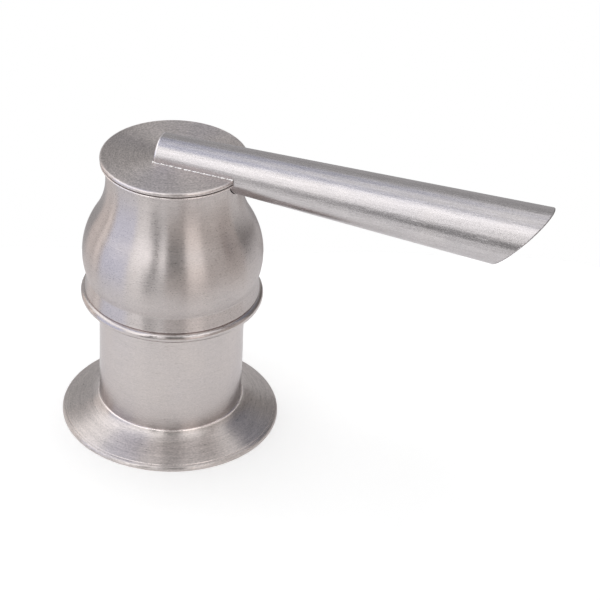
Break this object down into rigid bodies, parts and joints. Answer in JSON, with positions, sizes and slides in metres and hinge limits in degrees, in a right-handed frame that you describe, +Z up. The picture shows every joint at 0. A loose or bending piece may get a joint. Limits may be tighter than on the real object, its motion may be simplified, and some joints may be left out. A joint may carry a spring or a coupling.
{
  "type": "sink soap dispenser",
  "caption": "Deck-mounted sink soap dispenser: press-down swivelling head with a tapered spout on a fixed sleeve and flange, piston pump inside, threaded shank, nut and bottle below the deck.",
  "frame": {"origin": "centre of the flange's underside, on the deck's top face and on the head's axis", "axes": "+Z up along the pump's axis, +X along the spout at rest"},
  "size_m": [0.1226, 0.062, 0.2586],
  "materials": {
    "satin_nickel": "satin brushed nickel over brass, turned round the axis",
    "black_plastic": "moulded, fine matt",
    "natural_plastic": "moulded, undyed",
    "grey_plastic": "moulded, smooth",
    "bottle_plastic": "blow moulded, undyed, faintly cloudy",
    "black_rubber": "matt",
    "bright_steel": "plain stainless steel"
  },
  "bodies": {
    "base": {"flange": "satin_nickel", "deck_gasket": "black_rubber", "sleeve": "satin_nickel", "shank": "black_plastic", "cap_seal": "black_rubber", "pump_cap": "natural_plastic", "pump_cylinder": "natural_plastic", "dip_tube": "natural_plastic", "rubber_washer": "black_rubber", "steel_washer": "bright_steel", "mounting_nut": "black_plastic", "bottle": "bottle_plastic", "return_spring": "bright_steel"},
    "plunger": {"pump_stem": "natural_plastic", "piston": "grey_plastic"},
    "head": {"head_shell": "satin_nickel", "top_disc": "satin_nickel", "bead_ring": "satin_nickel", "guide_bush": "black_plastic", "spout_tube": "satin_nickel", "elbow": "natural_plastic", "delivery_tube": "natural_plastic", "nozzle": "black_plastic", "stem_socket": "natural_plastic", "stem_seal": "black_rubber"},
    "outlet_valve": {"outlet_ball": "bright_steel"},
    "inlet_valve": {"inlet_ball": "bright_steel"}
  },
  "joints": [
    {"name": "head_press", "type": "slide", "parent": "base", "child": "plunger", "axis": [0, 0, -1], "range_m": [0, 0.014], "stiffness_N_per_m": 400, "springref_m": -0.012, "deforming": ["return_spring"]},
    {"name": "head_swivel", "type": "hinge", "parent": "plunger", "child": "head", "pos_m": [0, 0, 0.06], "axis": [0, 0, 1], "continuous": true},
    {"name": "outlet_lift", "type": "slide", "parent": "plunger", "child": "outlet_valve", "axis": [0, 0, 1], "range_m": [0, 0.0015]},
    {"name": "inlet_lift", "type": "slide", "parent": "base", "child": "inlet_valve", "axis": [0, 0, 1], "range_m": [0, 0.002]}
  ]
}
